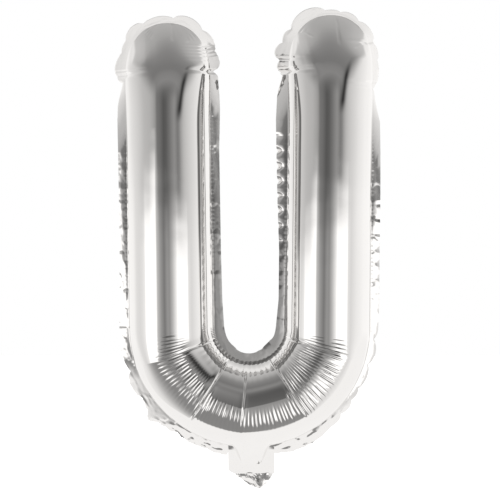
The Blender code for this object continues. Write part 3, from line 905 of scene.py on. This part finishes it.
def margin_width(leg, edge, below_top, point):
    """Width of the margin beside a leg: lobes round the dome, then an even strip."""
    start, upward, _, length = leg_frame(leg)
    shoulder = start + upward * (length - DOME_HEIGHT)
    angle = math.degrees(math.atan2(point.z - shoulder.z, point.x - shoulder.x))
    width, _ = lobe_at(leg[0], (angle + 90.0) % 360.0 - 90.0)
    return follow(MARGIN_WIDTHS[(leg[0], edge)], below_top / MM) * MM if width is None else width


def lie_at(stretch, edge, place):
    """Lean, crumpling and change of lean of the margin at a place of one stretch."""
    return [follow(MARGIN_LIE[(stretch, edge)], place, column) for column in (1, 2, 3)]


def margin_tree():
    """Sweeps the sealed strip along the weld, leaning, cupped and crumpled."""
    sizes = {"Rows": 12, "Thickness": MARGIN_THICKNESS, "Root": MARGIN_ROOT,
             "Broad crumple pitch": 6.5 * MM, "Broad crumple height": 0.95 * MM,
             "Fine crumple pitch": 2.6 * MM, "Fine crumple height": 0.16 * MM,
             "Gather pitch": 11.8 * MM, "Bead pitch": 3.2 * MM, "Bead height": 0.05 * MM,
             "Edge wander": 0.16, "Seed": 11.0}
    g = ShapeGraph("sealed_strip", sizes)
    size, path = g.size, g.along_path
    seed = size("Seed")
    grid, part, behind = g.section_grid(size("Rows"), size("Rows"))

    px, py, pz = g.parts(path("place", "FLOAT_VECTOR"))
    ax, _, az = g.parts(path("across", "FLOAT_VECTOR"))
    run, crumple = path("run"), path("crumple")
    wander = g.noise(g.vector(run / (4.0 * MM), seed + 5.0, 0.0), 1.0, 2.0) - 0.5
    width = path("width") * (1.0 + wander * size("Edge wander") * crumple)
    distance = (width + size("Root")) * part - size("Root")
    outward = distance / width
    cup = (outward - 0.4) * path("cup")
    gathered = (run / size("Gather pitch") + wander * 0.5).zigzag() ** 3.0
    gathered = gathered * outward.smooth(0.1, 1.0) * path("gather")
    bent = (path("lean") + cup + gathered) * (math.pi / 180.0)

    pitch = size("Broad crumple pitch")
    broad = g.noise(g.vector(run / (pitch * 1.6), distance / pitch, seed), 1.0, 1.0) - 0.5
    ridged = broad.absolute() * (-1.4) + broad
    pitch = size("Fine crumple pitch")
    fine = g.noise(g.vector(run / (pitch * 1.5), distance / pitch, seed + 3.0), 1.0, 1.0) - 0.5
    height = ridged * size("Broad crumple height") + fine * size("Fine crumple height")
    height = height * crumple * distance.smooth(-0.2 * MM, 1.6 * MM)
    beads = (run * (2.0 * math.pi) / size("Bead pitch") + wander * 6.0).sine()
    height += beads * (distance - 0.9 * MM).bell(0.8 * MM) * size("Bead height") * crumple.below(0.6)
    face = (behind * 2.0 - 1.0) * size("Thickness") * 0.5 * path("thick")
    reach = distance * bent.cosine()
    side = distance * bent.sine() + height + face
    placed = g.vector(px + ax * reach, py + side, pz + az * reach)
    return g.finish(g.node("GeometryNodeSetPosition", {"Geometry": grid, "Position": placed}))


def double_sheet(name, columns, rows, place):
    """A thin closed sheet. place(across, down, side) gives each point, side -1 in front."""
    vertices = [place(column / columns, row / rows, side) for side in (-1, 1)
                for column in range(columns + 1) for row in range(rows + 1)]
    faces = []

    def at(corner, sheet):
        return (sheet * (columns + 1) + corner[0]) * (rows + 1) + corner[1]

    for column in range(columns):
        for row in range(rows):
            corners = ((column, row), (column, row + 1), (column + 1, row + 1), (column + 1, row))
            faces.append([at(corner, 0) for corner in corners])
            faces.append([at(corner, 1) for corner in reversed(corners)])
    rim = [(column, 0) for column in range(columns)]
    rim += [(columns, row) for row in range(rows)]
    rim += [(column, rows) for column in range(columns, 0, -1)]
    rim += [(0, row) for row in range(rows, 0, -1)]
    for near, far in zip(rim, rim[1:] + rim[:1]):
        faces.append([at(near, 0), at(far, 0), at(far, 1), at(near, 1)])
    mesh = bpy.data.meshes.new(name)
    mesh.from_pydata(vertices, [], faces)
    mesh.update()
    return stand(name, mesh)


def ridge(x, z, fold):
    """Height of one fold of the tail at a point: a rounded ridge that fades at both ends."""
    x0, z0, x1, z1, half, height = (size * MM for size in fold)
    along = Vector((x1 - x0, z1 - z0))
    reach = Vector((x - x0, z - z0))
    part = reach.dot(along) / along.length_squared
    off = abs(reach.x * along.y - reach.y * along.x) / along.length
    fade = ease(part, -0.15, 0.2) * (1.0 - ease(part, 0.8, 1.15))
    return height * fade * math.exp(-(off / half) ** 2)


def body_underside(x):
    return BEND_CENTRE.z - math.sqrt((BEND_RADIUS + TUBE_RADIUS) ** 2 - x ** 2)


def lean_back(x, z):
    """How far the leaning tail stands behind the seam plane at a point."""
    below = body_underside(x) - z
    return math.tan(math.radians(TAIL_LEAN)) * 0.5 * (below + math.hypot(below, TAIL_BEND_LENGTH))


def tail_place(across, down, side):
    """One point of the tail's two films, between the body and the last fold."""
    x = blend(TAIL_LEFT, TAIL_RIGHT, across)
    middle = abs(x - TAIL_MIDDLE) / (TAIL_RIGHT - TAIL_MIDDLE)
    under_neck = 1.0 - ease(middle, 0.10, 0.80)
    top = body_underside(x) + TAIL_TUCK - (TAIL_TUCK + NECK_COVER) * under_neck
    corner = TAIL_CORNER * max(0.0, 1.0 - across / TAIL_CORNER_SHARE) ** 1.4
    bottom = TAIL_FOLD_Z + corner
    z = blend(top, bottom, down)
    relief = sum(ridge(x, z, fold) for fold in TAIL_FOLDS)
    free = ease(down, 0.0, 0.25)
    wave = TAIL_WAVE_HEIGHT * math.sin(x / TAIL_WAVE_LENGTH + 0.8) * ease(down, 0.4, 1.0)
    bow = -TAIL_BOW * middle ** 2 * free
    return (x, side * 0.5 * TAIL_WALL - (relief + wave) * free + bow + lean_back(x, z), z)


def tip_place(across, down, side):
    """One point of the crumpled end, gathered from the last fold to a point."""
    x = blend(TIP_LEFT, TIP_RIGHT, across)
    x = TIP_X + (x - TIP_X) * (1.0 - TIP_NARROWING * down ** 1.35)
    pleat = math.sin(across * TIP_PLEATS * math.pi + 1.4 * down)
    crumple = math.sin(13.0 * across + 6.0 * down) + math.sin(7.0 * across - 9.0 * down)
    y = TIP_PLEAT_DEPTH * (pleat + 0.55 * crumple) * (1.0 - 0.35 * down)
    ragged = TIP_RAGGEDNESS * math.sin(5.0 * across + 2.0 * down) * down
    z = TAIL_FOLD_Z + TIP_TUCK + (TIP_Z - TAIL_FOLD_Z) * down + ragged
    y += (TAIL_FOLD_Z - z) * (0.75 - 0.6 * ease(across, 0.35, 0.6)) + lean_back(x, TAIL_FOLD_Z)
    return (x + TIP_SCATTER * crumple * down, y + side * 0.5 * TAIL_WALL, z)


def foil_material(name, roughness, smudge, crinkle):
    """Mirror foil: polished metal with faint smudges and a slight unevenness of the film."""
    material = bpy.data.materials.new(name)
    material.use_nodes = True
    material.node_tree.nodes.clear()
    g = Graph(material.node_tree)
    coordinates = g.node("ShaderNodeTexCoord", output=3)
    cloud = g.noise(coordinates, 22.0, 3.0)
    grain = g.noise(coordinates, 240.0, 2.0)
    fine = g.noise(coordinates, 900.0, 3.0)
    stretched = g.node("ShaderNodeMapping", {"Vector": coordinates, "Scale": (90.0, 90.0, 9.0)})
    drawn = g.noise(stretched, 1.0, 2.0)
    rough = roughness * (0.7 + cloud * 0.6) + (grain - 0.5).above(0.0) * smudge
    shade = cloud * 0.05 + drawn * 0.03 + 0.96
    shading = g.node("ShaderNodeCombineColor", {0: shade, 1: shade, 2: shade})
    color = g.node("ShaderNodeMix", {"Factor": 1.0, 6: (*FOIL_TONE, 1.0), 7: shading},
                   {"data_type": "RGBA", "blend_type": "MULTIPLY"}, 2)
    relief = cloud * 0.25 + grain * 0.06 + fine * 0.012
    bump = g.node("ShaderNodeBump", {"Strength": 1.0, "Distance": crinkle, "Height": relief})
    shader = g.node("ShaderNodeBsdfPrincipled",
                    {"Base Color": color, "Metallic": 1.0, "Roughness": rough, "Normal": bump})
    g.node("ShaderNodeOutputMaterial", {"Surface": shader})
    return material


def glow(shade):
    """Light that the foil shows as this shade of the picture, 0 to 255."""
    level = shade / 255.0
    linear = level / 12.92 if level < 0.04045 else ((level + 0.055) / 1.055) ** 2.4
    return linear / FOIL_REFLECTANCE


def ramp(g, factor, reach, table):
    """Follows a table of (place, level) whose places run from -reach to reach."""
    stops = [(0.5 + 0.5 * place / reach, level) for place, level in table]
    color = g.node("ShaderNodeValToRGB", {0: factor * (0.5 / reach) + 0.5}, {"stops": stops})
    return g.node("ShaderNodeSeparateColor", {0: color})


def shade_ramp(g, factor, reach, shades):
    return ramp(g, factor, reach, [(place, glow(shade)) for place, shade in shades])


def rise_ramp(g, turn, rises):
    """Degrees above level that follow the turn about the letter."""
    return ramp(g, turn, HALF_TURN, [(place, rise / MOST_RISE) for place, rise in rises]) * MOST_RISE


def build_studio():
    """The room that the foil mirrors: softboxes, ceiling and floor, behind a white picture."""
    world = bpy.data.worlds.new("soft_studio")
    world.use_nodes = True
    world.node_tree.nodes.clear()
    g = Graph(world.node_tree)
    x, y, z = g.parts(g.node("ShaderNodeTexCoord", output=0))
    turn = x.reckon("ARCTAN2", -y) * (180.0 / math.pi)
    rise = z.reckon("ARCSINE") * (180.0 / math.pi)
    level = shade_ramp(g, turn, HALF_TURN, LEVEL_ROOM)
    above = shade_ramp(g, turn, HALF_TURN, UPPER_ROOM)
    ceiling = shade_ramp(g, -y, 1.0, CEILING)
    top = rise_ramp(g, turn, WINDOW_TOPS)
    height = (rise - top).smooth(-WINDOW_TOP_SOFTNESS, WINDOW_TOP_SOFTNESS)
    room = blend(level, above, height)
    opening = (1.0 - x.absolute().smooth(*OPENING_HALF_WIDTH)) * y.smooth(*OPENING_BEHIND)
    room = room * (1.0 - opening * OPENING_DARKNESS)
    bar = (turn - BAR_TURN - rise * rise * BAR_BEND).bell(BAR_HALF_WIDTH)
    bar = bar * rise.within(*BAR_FOOT, *BAR_TOP)
    room = blend(room, ceiling, rise.smooth(*CEILING_RISE))
    room = room * (1.0 - bar * BAR_DARKNESS)
    floor = shade_ramp(g, turn, HALF_TURN, FLOOR_SHADES)
    drop = rise_ramp(g, turn, WINDOW_BOTTOMS)
    room = blend(room, floor, (-rise - drop).smooth(-FLOOR_SOFTNESS, FLOOR_SOFTNESS))
    beside = (-TABLE_SIDE_FROM - x).above(0.0) * TABLE_SIDE
    lower = y.smooth(*TABLE_DROP_BEHIND) * TABLE_DROP
    table = (z * TABLE_EDGE - y + beside).smooth(*TABLE_EDGE_SOFTNESS)
    table = table * (-z - lower).smooth(*TABLE_DOWN)
    room = blend(room, glow(TABLE_SHADE), table)
    tinted = g.node("ShaderNodeCombineColor",
                    {0: room * (1.0 + WARMTH), 1: room, 2: room * (1.0 - WARMTH)})
    mirrored = g.node("ShaderNodeBackground", {"Color": tinted})
    white = g.node("ShaderNodeBackground", {"Color": (1.0, 1.0, 1.0, 1.0)})
    seen = g.node("ShaderNodeLightPath", output=0)
    mixed = g.node("ShaderNodeMixShader", {0: seen, 1: mirrored, 2: white})
    g.node("ShaderNodeOutputWorld", {"Surface": mixed})
    bpy.context.scene.world = world


def build_floor():
    """Plain white floor under the hanging letter."""
    bpy.ops.mesh.primitive_grid_add(x_subdivisions=4, y_subdivisions=4, size=FLOOR_SIZE,
                                    location=(0.0, 0.0, FLOOR_Z))
    floor = bpy.context.object
    floor.name = "floor"
    material = bpy.data.materials.new("white_floor")
    material.use_nodes = True
    inputs = material.node_tree.nodes["Principled BSDF"].inputs
    inputs["Base Color"].default_value = (0.9, 0.9, 0.9, 1.0)
    inputs["Roughness"].default_value = 0.9
    inputs["Emission Color"].default_value = (1.0, 1.0, 1.0, 1.0)
    inputs["Emission Strength"].default_value = 1.0
    floor.data.materials.append(material)
    floor.visible_glossy = False


def build_camera():
    camera = bpy.data.cameras.new("camera")
    camera.sensor_width = SENSOR
    camera.lens = SENSOR * CAMERA_DISTANCE / (PIXEL * FRAME_PIXELS)
    camera.clip_end = 20.0
    eye = stand("camera", camera)
    eye.location = (CAMERA_X, -CAMERA_DISTANCE, CAMERA_Z)
    eye.rotation_euler = (math.radians(90.0), 0.0, 0.0)
    bpy.context.scene.camera = eye
    bpy.context.scene.view_settings.view_transform = "Standard"


def keep(piece, slot, *nodes):
    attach(piece, "root")
    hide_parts(*nodes)


def main():
    build_camera()
    build_studio()
    build_floor()
    mirror = foil_material("mirror_foil", roughness=0.035, smudge=0.03, crinkle=0.02 * MM)
    sealed = foil_material("sealed_foil", roughness=0.07, smudge=0.10, crinkle=0.05 * MM)
    creased = foil_material("creased_foil", roughness=0.07, smudge=0.08, crinkle=0.05 * MM)

    film = film_tree()
    front = grow("front_film", film, film_path("front_path", *FRONT_STEPS), mirror)
    back = grow("back_film", film, film_path("back_path", *BACK_STEPS), mirror,
                {"Side": 1.0, "Rows outside": 48, "Seed": 8.0})
    weld = path_mesh("weld_path", margin_stations())
    margin = grow("sealed_margin", margin_tree(), weld, sealed)

    sheets = double_sheet("tail_sheets", 56, 40, tail_place)
    sheets.data.materials.append(creased)
    sheets.data.shade_smooth()
    crumple = double_sheet("tail_crumple", 18, 9, tip_place)
    crumple.data.materials.append(creased)

    keep(front, "mirror_foil", "front_panel")
    keep(back, "mirror_foil", "back_panel")
    keep(margin, "sealed_foil", "seam_margin")
    keep(sheets, "creased_foil", "tail_front", "tail_back")
    keep(crumple, "creased_foil", "tail_tip")


main()
